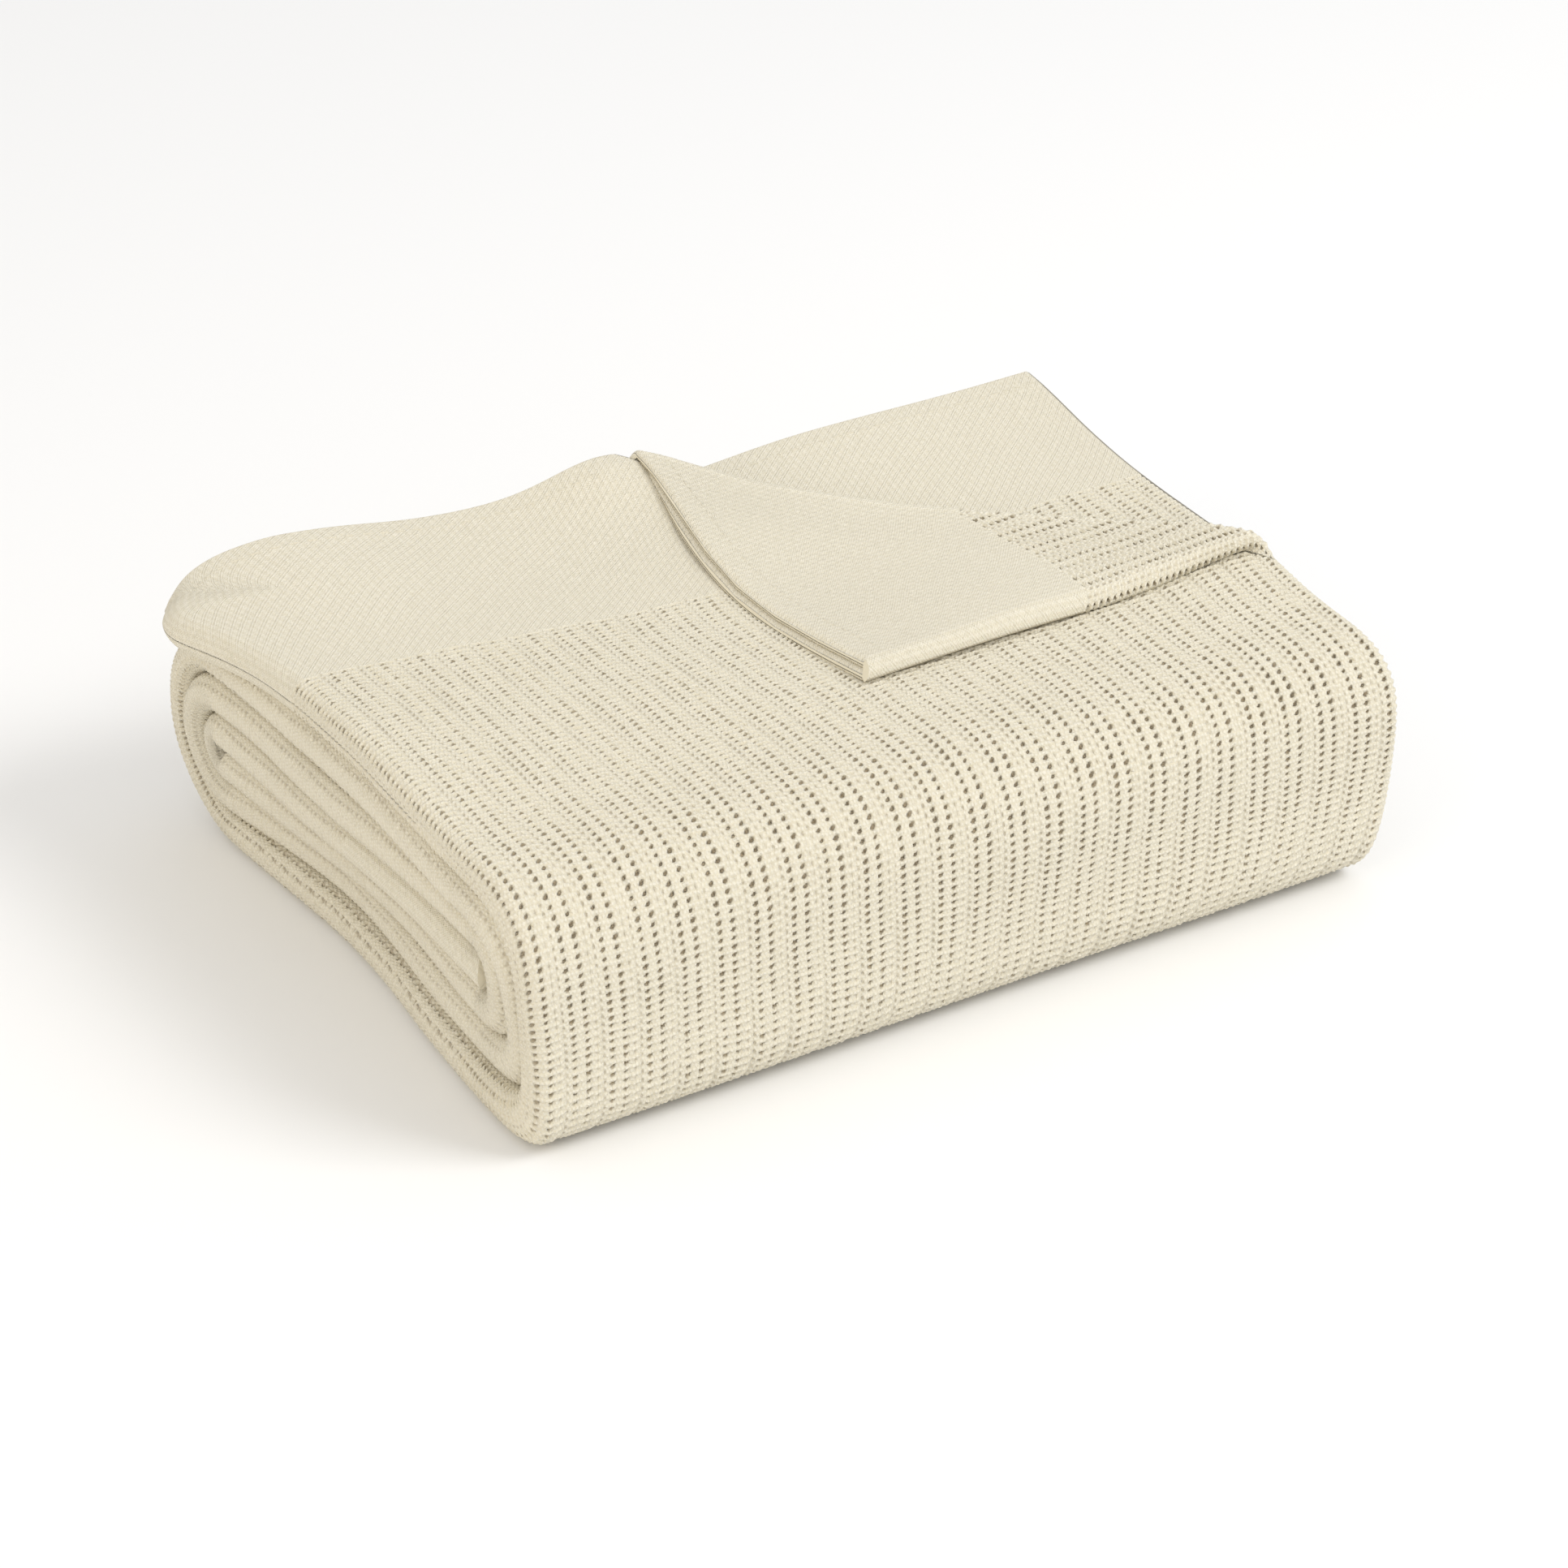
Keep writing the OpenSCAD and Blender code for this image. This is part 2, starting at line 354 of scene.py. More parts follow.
def round_face(cx, cd, r, a0, a1, u0, ply, out=1, fine=False):
    """A rounded edge of the stack; angles are in degrees, 90 is deeper and 180 is towards -X.
    An edge that stops half way round keeps its end, where the other pair's edge meets it."""
    length = abs(math.radians(a1 - a0)) * r
    if fine:
        t = (fine_u(u0, u0 + length) - u0) / length
    else:
        t = np.linspace(0, 1, max(5, int(length / ROUND_STEP) + 2))
    t = t[0 if a0 == 180 else 1:len(t) if a1 == 180 else -1]
    a = np.radians(a0 + (a1 - a0) * t)
    c, s = np.cos(a), np.sin(a)
    one = np.ones(len(t))
    return np.stack([cx + r * c, cd + r * s, out * c, out * s, u0 + t * length, one * fine, ply * one], 1)


MIDS = [PLY / 2, PLY * 1.5, TOP3 + PLY / 2, TOP3 + PLY * 1.5]
ARC2 = math.pi * LAP / 2
ARC1 = math.pi * PLY
U_FOUR = U_ONE - ARC2 - (X_EDGE - X_FOLD)
U_TWO = U_ONE + (X_ONE - X_FOLD) + ARC1
U_THREE = U_TWO + (X_ONE - X_FOLD)
MID_D = LAP / 2
HOLLOW = MID_D - PLY


def stack_loop(top=True):
    """The whole folded stack of four plies as one strip of cloth."""
    seen = (X_FOLD, X_ONE) if top else None
    return [np.concatenate([
        flat_face(X_EDGE, X_FOLD, LAP, 1, U_FOUR, MIDS[3]),
        round_face(X_FOLD, MID_D, MID_D, 90, 270, U_ONE - ARC2, -1, fine=True),
        flat_face(X_FOLD, X_ONE, 0, -1, U_ONE, MIDS[0], seen),
        round_face(X_ONE, PLY, PLY, -90, 90, U_TWO - ARC1, -1, fine=True),
        flat_face(X_ONE, X_FOLD, 2 * PLY, 1, U_TWO, MIDS[1]),
        flat_face(X_FOLD, X_EDGE, TOP3, -1, U_THREE, MIDS[2]),
        round_face(X_EDGE, MIDS[2], PLY / 2, -90, 90, 0, MIDS[2]),
        flat_face(X_EDGE, X_FOLD, LAP - PLY - SEAM, 1, 0, MIDS[2]),
        round_face(X_FOLD, MID_D, HOLLOW - SEAM, 90, 270, 0, -1),
        flat_face(X_FOLD, X_ONE, PLY + SEAM, -1, 0, MIDS[1]),
        flat_face(X_ONE, X_FOLD, PLY - SEAM, 1, 0, MIDS[0]),
        round_face(X_FOLD, MID_D, HOLLOW + SEAM, 270, 90, 0, -1, out=-1),
        flat_face(X_FOLD, X_EDGE, LAP - PLY + SEAM, -1, 0, MIDS[3]),
        round_face(X_EDGE, MIDS[3], PLY / 2, -90, 90, 0, MIDS[3])])]


def outer_loop(x_seen):
    """Plies one and two, joined round the first fold at +X; x_seen is where ply two's face shows."""
    return [np.concatenate([
        round_face(X_FOLD, MID_D, MID_D, 180, 270, U_ONE - ARC2 / 2, -1, fine=True),
        flat_face(X_FOLD, X_ONE, 0, -1, U_ONE, MIDS[0], (X_FOLD, X_ONE)),
        round_face(X_ONE, PLY, PLY, -90, 90, U_TWO - ARC1, -1, fine=True),
        flat_face(X_ONE, X_FOLD, 2 * PLY, 1, U_TWO, MIDS[1], (X_ONE, x_seen)),
        round_face(X_FOLD, MID_D, HOLLOW - SEAM, 180, 270, 0, -1),
        flat_face(X_FOLD, X_ONE, PLY + SEAM, -1, 0, MIDS[1]),
        flat_face(X_ONE, X_FOLD, PLY - SEAM, 1, 0, MIDS[0]),
        round_face(X_FOLD, MID_D, HOLLOW + SEAM, 270, 180, 0, -1, out=-1)])]


def inner_loops(x_seen):
    """Plies three and four with their two selvedges; x_seen is where ply three's face shows."""
    four = np.concatenate([
        flat_face(X_EDGE, X_FOLD, LAP, 1, U_FOUR, MIDS[3]),
        round_face(X_FOLD, MID_D, MID_D, 90, 180, U_ONE - ARC2, -1, fine=True),
        round_face(X_FOLD, MID_D, HOLLOW + SEAM, 180, 90, 0, -1, out=-1),
        flat_face(X_FOLD, X_EDGE, LAP - PLY + SEAM, -1, 0, MIDS[3]),
        round_face(X_EDGE, MIDS[3], PLY / 2, -90, 90, 0, MIDS[3])])
    three = np.concatenate([
        flat_face(X_FOLD, X_EDGE, TOP3, -1, U_THREE, MIDS[2], (x_seen, X_EDGE)),
        round_face(X_EDGE, MIDS[2], PLY / 2, -90, 90, 0, MIDS[2]),
        flat_face(X_EDGE, X_FOLD, LAP - PLY - SEAM, 1, 0, MIDS[2]),
        round_face(X_FOLD, MID_D, HOLLOW - SEAM, 90, 180, 0, -1)])
    return [four, three]


# ---- strips: the stack's cross-section swept along a run, still unrolled ----

GUARD = 0.3              # spare rows at both ends, for the normals


def rows_between(s0, s1, step):
    """Row places from s0 to s1; inside, they are multiples of step so that they follow the weave."""
    step = step * 1
    n0, n1 = math.floor(s0 / step) + 1, math.ceil(s1 / step)
    inner = [n * step for n in range(n0, n1) if s0 + 0.2 < n * step < s1 - 0.2]
    return np.array([s0, *inner, s1])


def hem_rows(s0, s1, step):
    """Rows that also round the ends of the plies and crease the hem's inner edge."""
    start = s0 + np.array([0.0, 0.15, 0.45, 0.9, CURL])
    crease = s0 + HEM + np.array([-1.0, -0.4, 0.0, 0.4, 0.9, 1.6])
    rows = np.concatenate([start, rows_between(s0 + CURL, s1, step), crease])
    rows = np.unique(np.round(rows[(rows >= s0) & (rows <= s1)], 4))
    return rows[np.concatenate([[True], np.diff(rows) > 0.1])]


def strip_points(columns, rows, hem_at):
    """Unrolled points (x, s, depth) of a grid, with the relief raised along the face's normal."""
    x, d, nx, nd, u, relief, mid = [c[None, :] for c in columns.T]
    s = rows[:, None]
    h = weave_height(u, s) * relief
    if hem_at is not None:
        from_end = np.abs(s - hem_at)
        h = h + hem_height(from_end) * (mid > 0) * (relief > 0)
        curl = np.sqrt(np.clip(1 - (1 - np.clip(from_end / CURL, 0, 1)) ** 2, 0.02, 1))
        d = np.where(mid > 0, mid + (d - mid) * curl, d)
    return np.stack([x + h * nx, s + 0 * x, d + h * nd], 2)


def grid_normals(points):
    """Normals of the grid from central differences; the rows at both ends are guards."""
    du = np.roll(points, -1, 1) - np.roll(points, 1, 1)
    dv = points[2:] - points[:-2]
    n = np.cross(dv, du[1:-1])
    return n / (np.linalg.norm(n, axis=2, keepdims=True) + 1e-12)


def strip_mesh(name, loops, rows, hem_at=None):
    """The mesh of a strip, still in the unrolled space."""
    verts, normals, quads, caps, weave, bake = [], [], [], [], [], []
    total, start, done = sum(len(c) for c in loops) + len(loops), 0, 0
    guard = np.concatenate([[rows[0] - GUARD], rows, [rows[-1] + GUARD]])
    for columns in loops:
        m, n = len(rows), len(columns)
        points = strip_points(columns, guard, hem_at)
        i, j = np.meshgrid(np.arange(m - 1), np.arange(n), indexing="ij")
        k = (j + 1) % n
        quad = np.stack([i * n + j, (i + 1) * n + j, (i + 1) * n + k, i * n + k], 2).reshape(-1, 4)
        u = np.append(columns[:, 4], columns[-1, 4] + 1) / PERIOD
        ui = np.stack([u[j], u[j], u[j + 1], u[j + 1]], 2).reshape(-1, 4)
        vi = np.stack([rows[i], rows[i + 1], rows[i + 1], rows[i]], 2).reshape(-1, 4) / ROW
        bu = (done + np.stack([j, j, j + 1, j + 1], 2).reshape(-1, 4)) / total
        bv = np.stack([i, i + 1, i + 1, i], 2).reshape(-1, 4) / (m - 1)
        verts.append(points[1:-1].reshape(-1, 3))
        normals.append(grid_normals(points).reshape(-1, 3))
        quads.append(quad + start)
        caps += [np.arange(n) + start, (np.arange(n) + start + (m - 1) * n)[::-1]]
        weave.append(np.stack([ui, vi], 2).reshape(-1, 2))
        bake.append(np.stack([bu, bv], 2).reshape(-1, 2))
        start, done = start + m * n, done + n + 1
    join = np.concatenate
    return build_mesh(name, join(verts), join(quads), caps, join(weave), join(bake), join(normals))


def build_mesh(name, verts, quads, caps, weave, bake, normals):
    """A Blender mesh from quads and end caps, with both UV layers and its guide normals."""
    me = bpy.data.meshes.new(name)
    me.vertices.add(len(verts))
    me.vertices.foreach_set("co", verts.astype(np.float32).ravel())
    loops = np.concatenate([quads.ravel(), *caps]) if caps else quads.ravel()
    sizes = np.concatenate([np.full(len(quads), 4), [len(c) for c in caps]]).astype(int)
    me.loops.add(len(loops))
    me.loops.foreach_set("vertex_index", loops.astype(np.int32))
    me.polygons.add(len(sizes))
    me.polygons.foreach_set("loop_start", np.concatenate([[0], np.cumsum(sizes)[:-1]]).astype(np.int32))
    cap_loops = len(loops) - quads.size
    for layer, values in (("weave", weave), ("OFBake", bake)):
        uv = me.uv_layers.new(name=layer)
        full = np.concatenate([values, np.zeros((cap_loops, 2))])
        uv.data.foreach_set("uv", full.astype(np.float32).ravel())
    attribute = me.attributes.new("guide", "FLOAT_VECTOR", "POINT")
    attribute.data.foreach_set("vector", normals.astype(np.float32).ravel())
    cap = me.attributes.new("cap", "INT", "FACE")
    cap.data.foreach_set("value", (np.arange(len(sizes)) >= len(quads)).astype(np.int32))
    me.update(calc_edges=True)
    return split_caps(me)


def fill_flat(bm, edges, along_cut, normal):
    """Closes a flat cut with short triangles: long ones would stand off a curved piece."""
    verts = list(dict.fromkeys(v for e in edges for v in e.verts))
    index = {v: i for i, v in enumerate(verts)}
    flat = [Vector((v.co.dot(along_cut), v.co.z)) for v in verts]
    pairs = [tuple(index[v] for v in e.verts) for e in edges]
    found = delaunay_2d_cdt(flat, pairs, [], 1, 1e-6)
    layer = bm.faces.layers.int["cap"]
    for triangle in found[2]:
        corners = [verts[found[3][i][0]] for i in triangle if found[3][i]]
        if len(set(corners)) == 3:
            f = bm.faces.new(corners)
            f[layer] = 1
            f.normal_update()
            if f.normal.dot(normal) < 0:
                f.normal_flip()


def split_caps(me):
    """Cuts the end caps into triangles while they are flat, so that they bend and cut cleanly."""
    bm = bmesh.new()
    bm.from_mesh(me)
    layer = bm.faces.layers.int["cap"]
    for f in [f for f in bm.faces if f[layer]]:
        f.normal_update()
        edges, normal = list(f.edges), f.normal.copy()
        bm.faces.remove(f)
        fill_flat(bm, edges, Vector((1, 0, 0)), normal)
    bm.to_mesh(me)
    bm.free()
    return me


def mapped_normals(points, guides, place):
    """Normals after the mapping, so that neighbouring pieces shade as one cloth."""
    helper = np.where(np.abs(guides[:, :1]) < 0.8, [[1.0, 0, 0]], [[0, 1.0, 0]])
    t1 = np.cross(guides, helper)
    t1 /= np.linalg.norm(t1, axis=1, keepdims=True) + 1e-12
    t2 = np.cross(guides, t1)
    e = 0.05
    a = place(points + e * t1) - place(points - e * t1)
    b = place(points + e * t2) - place(points - e * t2)
    n = np.cross(a, b)
    centre = place(points + e * guides) - place(points - e * guides)
    n *= np.where(np.sum(n * centre, 1, keepdims=True) < 0, -1, 1)
    return n / (np.linalg.norm(n, axis=1, keepdims=True) + 1e-12)


def drop_helpers(me):
    """Removes the attributes that only building needed."""
    for extra in ("guide", "cap"):
        me.attributes.remove(me.attributes[extra])
    return me


def settle(me, place):
    """Moves an unrolled mesh into the row frame and gives it its shading normals."""
    n = len(me.vertices)
    points, guides = np.zeros(n * 3, np.float32), np.zeros(n * 3, np.float32)
    me.vertices.foreach_get("co", points)
    me.attributes["guide"].data.foreach_get("vector", guides)
    points, guides = points.reshape(-1, 3).astype(float), guides.reshape(-1, 3).astype(float)
    me.vertices.foreach_set("co", (place(points) / 1000).astype(np.float32).ravel())
    me.update()
    shade = mapped_normals(points, guides, place)
    polys, count = len(me.polygons), len(me.loops)
    caps, vertex = np.zeros(polys, np.int32), np.zeros(count, np.int32)
    sizes, flat = np.zeros(polys, np.int32), np.zeros(polys * 3, np.float32)
    me.attributes["cap"].data.foreach_get("value", caps)
    me.loops.foreach_get("vertex_index", vertex)
    me.polygons.foreach_get("loop_total", sizes)
    me.polygons.foreach_get("normal", flat)
    corner = shade[vertex]
    on_cap = np.repeat(caps > 0, sizes)
    corner[on_cap] = np.repeat(flat.reshape(-1, 3), sizes, axis=0)[on_cap]
    me.polygons.foreach_set("use_smooth", np.ones(polys, bool))
    me.normals_split_custom_set(corner.astype(np.float32))
    return drop_helpers(me)


def link(name, me, material):
    ob = bpy.data.objects.new(name, me)
    bpy.context.scene.collection.objects.link(ob)
    me.materials.clear()
    me.materials.append(material)
    return ob


def roll_piece(name, rows, loops, material, hem_at=None):
    """A run of the roll, swept straight from its cross-section."""
    return link(name, settle(strip_mesh(name, loops, rows, hem_at), place_roll), material)


def cut_piece(name, base, planes, place, material):
    """Part of a flat strip between planes; each plane is (point, normal) and keeps what lies behind it."""
    bm = bmesh.new()
    bm.from_mesh(base)
    for point, normal in planes:
        geom = list(bm.verts) + list(bm.edges) + list(bm.faces)
        done = bmesh.ops.bisect_plane(bm, geom=geom, plane_co=point, plane_no=normal,
                                      clear_outer=True, dist=1e-4)
        edges = [g for g in done["geom_cut"] if isinstance(g, bmesh.types.BMEdge)]
        edges = [e for e in edges if len(e.link_faces) == 1]
        fill_flat(bm, edges, Vector((-normal.y, normal.x, 0)), normal)
    me = bpy.data.meshes.new(name)
    bm.to_mesh(me)
    bm.free()
    return link(name, settle(me, place), material)


# ---- materials: every mark comes from the weave coordinates ----

CREAM = (0.745, 0.685, 0.53, 1)
CREAM_LIGHT = (0.86, 0.812, 0.685, 1)
SHADOW = (0.285, 0.200, 0.095, 1)


class Wires:
    """Short helpers that add nodes to one material."""

    def __init__(self, name):
        self.mat = bpy.data.materials.new(name)
        self.mat.use_nodes = True
        self.tree = self.mat.node_tree
        self.shader = self.tree.nodes["Principled BSDF"]

    def put(self, socket, value):
        if isinstance(value, bpy.types.NodeSocket):
            self.tree.links.new(value, socket)
        else:
            socket.default_value = value

    def math(self, op, *values):
        node = self.tree.nodes.new("ShaderNodeMath")
        node.operation = op
        for socket, value in zip(node.inputs, values):
            self.put(socket, value)
        return node.outputs[0]

    def ramp(self, value, a, b, low=0.0, high=1.0):
        """Smooth step from low at a to high at b."""
        node = self.tree.nodes.new("ShaderNodeMapRange")
        node.interpolation_type = "SMOOTHSTEP"
        for key, v in zip(range(5), (value, a, b, low, high)):
            self.put(node.inputs[key], v)
        return node.outputs[0]

    def vector(self, x, y, z=0.0):
        node = self.tree.nodes.new("ShaderNodeCombineXYZ")
        for socket, value in zip(node.inputs, (x, y, z)):
            self.put(socket, value)
        return node.outputs[0]

    def noise(self, vector, scale, detail=2.0):
        node = self.tree.nodes.new("ShaderNodeTexNoise")
        self.put(node.inputs["Vector"], vector)
        node.inputs["Scale"].default_value = scale
        node.inputs["Detail"].default_value = detail
        return node.outputs[0]

    def white(self, vector):
        node = self.tree.nodes.new("ShaderNodeTexWhiteNoise")
        node.noise_dimensions = "2D"
        self.put(node.inputs["Vector"], vector)
        return node.outputs[0]

    def mix(self, factor, a, b):
        node = self.tree.nodes.new("ShaderNodeMix")
        node.data_type = "RGBA"
        self.put(node.inputs[0], factor)
        self.put(node.inputs[6], a)
        self.put(node.inputs[7], b)
        return node.outputs[2]

    def weave_uv(self):
        node = self.tree.nodes.new("ShaderNodeUVMap")
        node.uv_map = "weave"
        split = self.tree.nodes.new("ShaderNodeSeparateXYZ")
        self.tree.links.new(node.outputs[0], split.inputs[0])
        return split.outputs[0], split.outputs[1]

    def finish(self, colour, height, distance):
        bump = self.tree.nodes.new("ShaderNodeBump")
        bump.inputs["Distance"].default_value = distance
        bump.inputs["Strength"].default_value = 1.0
        self.put(bump.inputs["Height"], height)
        self.put(self.shader.inputs["Normal"], bump.outputs[0])
        self.put(self.shader.inputs["Base Color"], colour)
        self.shader.inputs["Roughness"].default_value = 0.93
        self.shader.inputs["Specular IOR Level"].default_value = 0.15
        self.shader.inputs["Sheen Weight"].default_value = 0.12
        self.shader.inputs["Sheen Roughness"].default_value = 0.6
        return self.mat


def off_centre(w, value):
    """Signed distance to the nearest whole number."""
    return w.math("SUBTRACT", value, w.math("ROUND", value))


def oval(w, dx, dy):
    return w.math("SQRT", w.math("ADD", w.math("MULTIPLY", dx, dx), w.math("MULTIPLY", dy, dy)))


def hole_mask(w, u, v):
    """1 inside the holes, which vary a little in size and slant."""
    off_u, off_v = off_centre(w, u), off_centre(w, v)
    across = w.math("MULTIPLY", w.math("SUBTRACT", w.math("ABSOLUTE", off_u), HOLE_AT), PERIOD / 0.9)
    side = w.math("SIGN", off_u)
    slant = w.math("MULTIPLY", w.math("MULTIPLY", across, side), HOLE_SLANT)
    upright = w.math("ADD", w.math("MULTIPLY", off_v, ROW / 0.64), slant)
    cell = w.vector(w.math("ADD", w.math("ROUND", u), w.math("MULTIPLY", side, 0.25)), w.math("ROUND", v))
    size = w.math("ADD", w.math("MULTIPLY", w.white(cell), 0.45), 0.72)
    return w.ramp(w.math("DIVIDE", oval(w, across, upright), size), 0.45, 1.2, 1.0, 0.0)


def dash_mask(w, u, v):
    """1 inside the small dashes of the plain stripe."""
    off_u = off_centre(w, u)
    half = w.math("MULTIPLY", w.math("FLOOR", w.math("MULTIPLY", u, 2.0)), 0.5)
    off_v = off_centre(w, w.math("ADD", v, half))
    across = w.math("MULTIPLY", w.math("SUBTRACT", w.math("ABSOLUTE", off_u), DASH_AT), PERIOD / 0.42)
    upright = w.math("MULTIPLY", off_v, ROW / 0.75)
    cell = w.vector(w.math("FLOOR", w.math("MULTIPLY", u, 2.0)), w.math("ROUND", v))
    strength = w.ramp(w.white(cell), 0.1, 0.8, 0.35, 1.0)
    return w.math("MULTIPLY", w.ramp(oval(w, across, upright), 0.3, 1.3, 1.0, 0.0), strength)


def wave(w, u, v, nu, nv, phase=0.0):
    """A cosine over the weave coordinates."""
    sum_uv = w.math("ADD", w.math("MULTIPLY", u, nu * 2 * math.pi), w.math("MULTIPLY", v, nv * 2 * math.pi))
    return w.math("COSINE", w.math("ADD", sum_uv, phase))


def open_zone(w, v):
    """1 in the open weave, 0 in the two end bands."""
    start = w.ramp(v, BAND / ROW, (BAND + 2.5) / ROW)
    end = w.ramp(v, (S_END - BAND - 2.5) / ROW, (S_END - BAND) / ROW, 1.0, 0.0)
    return w.math("MULTIPLY", start, end)


def wander(w, u, v):
    """The yarns don't run dead straight: the same drift as in weave_height."""
    x, y = w.math("MULTIPLY", u, PERIOD), w.math("MULTIPLY", v, ROW)
    along_v, along_u = w.math("MULTIPLY", y, DRIFT_U[1]), w.math("MULTIPLY", x, DRIFT_U[2])
    sway = w.math("SINE", w.math("ADD", along_v, along_u))
    dip = w.math("SINE", w.math("ADD", w.math("MULTIPLY", x, DRIFT_V[1]), DRIFT_V[2]))
    return (w.math("ADD", u, w.math("MULTIPLY", sway, DRIFT_U[0] / PERIOD)),
            w.math("ADD", v, w.math("MULTIPLY", dip, DRIFT_V[0] / ROW)))


def cloth_material(name):
    """Undyed cotton: stripes of holes with plain ribs between, and a dense band at each end."""
    w = Wires(name)
    u, v = w.weave_uv()
    place = w.vector(w.math("MULTIPLY", u, PERIOD), w.math("MULTIPLY", v, ROW))
    zone = open_zone(w, v)
    u, v = wander(w, u, v)
    shown = w.math("MULTIPLY", zone, w.ramp(v, S_UNDER / ROW, (S_UNDER + 40) / ROW, 1.0, 0.5))
    shown = w.math("MULTIPLY", shown, w.ramp(u, (U_ONE - ARC2 / 2) / PERIOD, U_ONE / PERIOD, 0.65, 1.0))
    hole = w.math("MULTIPLY", hole_mask(w, u, v), shown)
    dash = w.math("MULTIPLY", dash_mask(w, u, v), shown)
    brick = w.math("MULTIPLY", wave(w, u, v, 10, 0), wave(w, u, v, 0, 1))
    pick = wave(w, u, v, 0, 2)
    open_yarn = w.math("ADD", w.math("MULTIPLY", brick, 0.5), w.math("MULTIPLY", pick, 0.3))
    twill = wave(w, u, v, PERIOD / 1.5, ROW / 1.5)
    cross = w.math("MULTIPLY", wave(w, u, v, PERIOD / 1.1, 0), wave(w, u, v, 0, ROW / 1.1))
    band_yarn = w.math("ADD", w.math("MULTIPLY", twill, 0.2), w.math("MULTIPLY", cross, 0.5))
    rib = wave(w, u, v, PERIOD / 2.2, 0)
    band_yarn = w.math("ADD", band_yarn, w.math("MULTIPLY", rib, 0.25))
    fibre = w.noise(place, 2.6, 3.0)
    slub = w.noise(w.vector(w.math("MULTIPLY", u, PERIOD * 0.25), w.math("MULTIPLY", v, ROW * 1.2)), 1.0, 2.0)
    yarn = w.math("ADD", w.math("MULTIPLY", open_yarn, zone),
                  w.math("MULTIPLY", band_yarn, w.math("SUBTRACT", 1.0, zone)))
    height = w.math("ADD", w.math("MULTIPLY", yarn, 0.5), w.math("MULTIPLY", fibre, 0.9))
    height = w.math("SUBTRACT", height, w.math("MULTIPLY", hole, 1.6))
    height = w.math("SUBTRACT", height, w.math("MULTIPLY", dash, 0.8))
    tone = w.math("ADD", w.math("MULTIPLY", fibre, 0.5), w.math("MULTIPLY", slub, 0.5))
    tone = w.math("ADD", tone, w.math("MULTIPLY", yarn, 0.30))
    colour = w.mix(w.ramp(tone, 0.25, 0.75), CREAM, CREAM_LIGHT)
    dark = w.math("MAXIMUM", w.math("MULTIPLY", hole, 0.76), w.math("MULTIPLY", dash, 0.42))
    return w.finish(w.mix(dark, colour, SHADOW), height, 0.0005)


def thread_material():
    """Spun sewing thread with a fine twist."""
    w = Wires("sewing_thread")
    u, v = w.weave_uv()
    twist = w.math("SINE", w.math("ADD", w.math("MULTIPLY", u, 40.0), w.math("MULTIPLY", v, 12.0)))
    tone = w.math("ADD", w.noise(w.vector(u, v), 9.0), w.math("MULTIPLY", twist, 0.12))
    return w.finish(w.mix(tone, CREAM, CREAM_LIGHT), twist, 0.00012)


# ---- stitches ----

STITCH_LONG = 3.2
STITCH_PITCH = 5.0
STITCH_WIDE = 0.45       # half widths of the thread, across and up
STITCH_HIGH = 0.34
STITCH_IN = 3.0          # from the hem's inner edge to the row
STITCH_PROUD = 0.1       # how far the thread's middle stands off the cloth
RING = 8                 # sides of the thread


def stitch_shape():
    """One stitch: a short bar with rounded ends, as rings round the x axis."""
    t = np.linspace(-1, 1, 7)
    r = np.sqrt(np.clip(1 - t ** 4, 0.03, 1))
    a = np.linspace(0, 2 * np.pi, RING, endpoint=False)
    x = np.repeat(t * STITCH_LONG / 2, RING)
    s = (r[:, None] * np.cos(a) * STITCH_WIDE).ravel()
    d = (r[:, None] * np.sin(a) * STITCH_HIGH).ravel()
    return np.stack([x, s, d], 1), len(t), len(a)


def stitch_row(name, x0, x1, s, depth, place, material):
    """A row of stitches across the hem, lying on the cloth at that depth."""
    shape, rings, sides = stitch_shape()
    marks = np.arange(x0 + STITCH_PITCH, x1 - STITCH_PITCH / 2, STITCH_PITCH)
    points = np.concatenate([shape + [x, s, depth] for x in marks])
    i, j = np.meshgrid(np.arange(rings - 1), np.arange(sides), indexing="ij")
    k = (j + 1) % sides
    quad = np.stack([i * sides + j, i * sides + k, (i + 1) * sides + k, (i + 1) * sides + j], 2)
    quad = quad.reshape(-1, 4)
    quads = np.concatenate([quad + n * len(shape) for n in range(len(marks))])
    ends = []
    for n in range(len(marks)):
        first = n * len(shape) + np.arange(sides)
        ends += [first[::-1], first + (rings - 1) * sides]
    flat = np.stack([j, i, j, i + 1, j + 1, i + 1, j + 1, i], 2).reshape(-1, 4, 2) / RING
    tile = math.ceil(math.sqrt(len(marks)))
    bake = np.concatenate([(flat * 0.9 + [n % tile, n // tile]) / tile for n in range(len(marks))])
    weave = np.concatenate([flat + n for n in range(len(marks))])
    guides = np.zeros_like(points)
    guides[:, 2] = 1
    me = build_mesh(name, points, quads, ends, weave.reshape(-1, 2), bake.reshape(-1, 2), guides)
    me.vertices.foreach_set("co", (place(points) / 1000).astype(np.float32).ravel())
    me.polygons.foreach_set("use_smooth", np.ones(len(me.polygons), bool))
    me.update()
    ob = link(name, drop_helpers(me), material)
    return ob


# ---- the pieces ----

FINE = 0.55              # row spacing where the weave is seen, half seen and not seen
COARSE = 1.1
HIDDEN = 1.65


def carry(ob, body, *nodes):
    """The piece rides on the body and stands for these CAD nodes."""
    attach(ob, body)
    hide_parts(*nodes)


